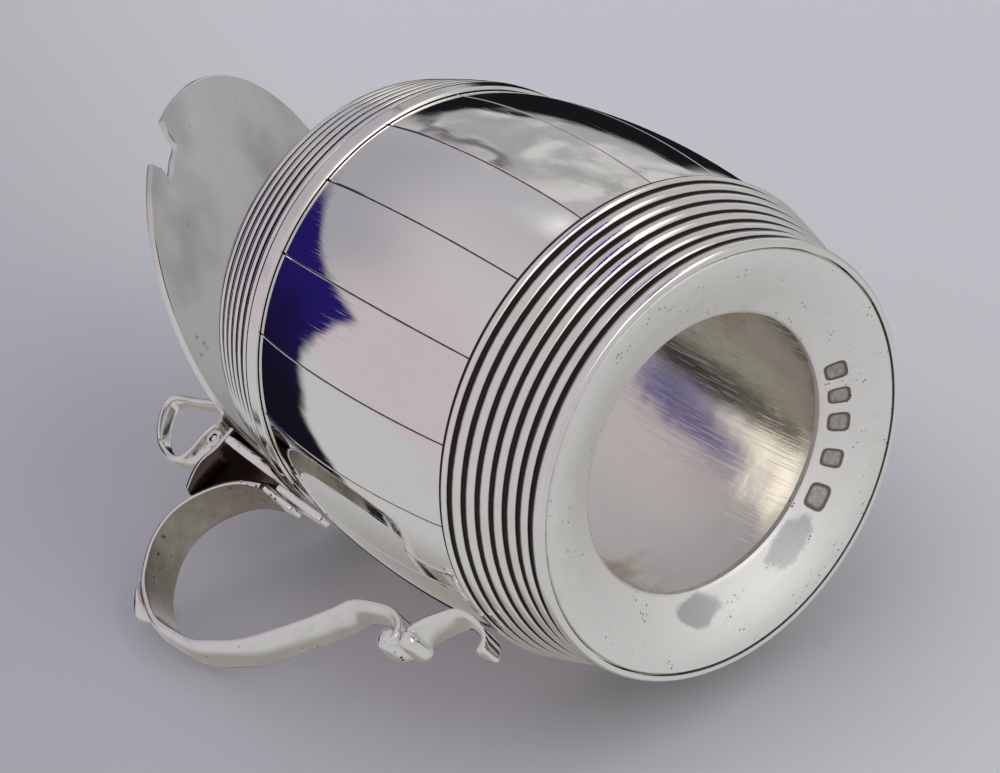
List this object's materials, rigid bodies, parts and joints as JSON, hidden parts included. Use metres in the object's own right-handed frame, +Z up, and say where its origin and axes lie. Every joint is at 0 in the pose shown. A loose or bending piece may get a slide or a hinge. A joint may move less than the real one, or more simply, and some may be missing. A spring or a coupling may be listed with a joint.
{
  "type": "mustard pot",
  "caption": "Barrel-shaped silver mustard pot with reeded hoops, scroll handle, hinged flat lid with loop thumbpiece, and a loose blue glass liner.",
  "frame": {"origin": "on the standing plane, at the middle of the footprint that the pot and its liner cover together", "axes": "+Z up the barrel's axis; +X from the barrel through its handle to the glass liner; the hinge pin runs along Y"},
  "size_m": [0.1673, 0.0654, 0.1108],
  "materials": {
    "barrel_silver": "bright polished silver with fine wear",
    "reeded_silver": "polished silver, tarnish in the grooves",
    "base_silver": "satin silver with pits and scratches",
    "handle_silver": "polished silver, satin on the inner faces",
    "lid_silver": "satin silver with light tarnish",
    "liner_glass": "clear cobalt-blue glass"
  },
  "bodies": {
    "pot": {"barrel_body": "barrel_silver", "lower_reeded_band": "reeded_silver", "upper_reeded_band": "reeded_silver", "upper_plain_fillet": "reeded_silver", "base_plate": "base_silver", "body_joint_plate": "handle_silver", "handle_upper_drop": "handle_silver", "handle_main_scroll": "handle_silver", "handle_spur": "handle_silver", "handle_lower_scroll": "handle_silver", "hinge_block": "handle_silver", "hinge_knuckle_left": "handle_silver", "hinge_knuckle_right": "handle_silver", "hinge_pin": "handle_silver"},
    "lid": {"lid_plate": "lid_silver", "lid_hinge_strap": "lid_silver", "hinge_knuckle_lid": "lid_silver", "thumbpiece_loop": "lid_silver"},
    "liner": {"glass_liner": "liner_glass"}
  },
  "joints": [
    {"name": "lid_hinge", "type": "hinge", "parent": "pot", "child": "lid", "pos_m": [-0.0186, 0, 0.0704], "axis": [0, 1, 0], "range_deg": [-41.6, 48]},
    {"name": "liner_lift", "type": "slide", "parent": "pot", "child": "liner", "axis": [0, 0, 1], "range_m": [0, 0.07]}
  ]
}
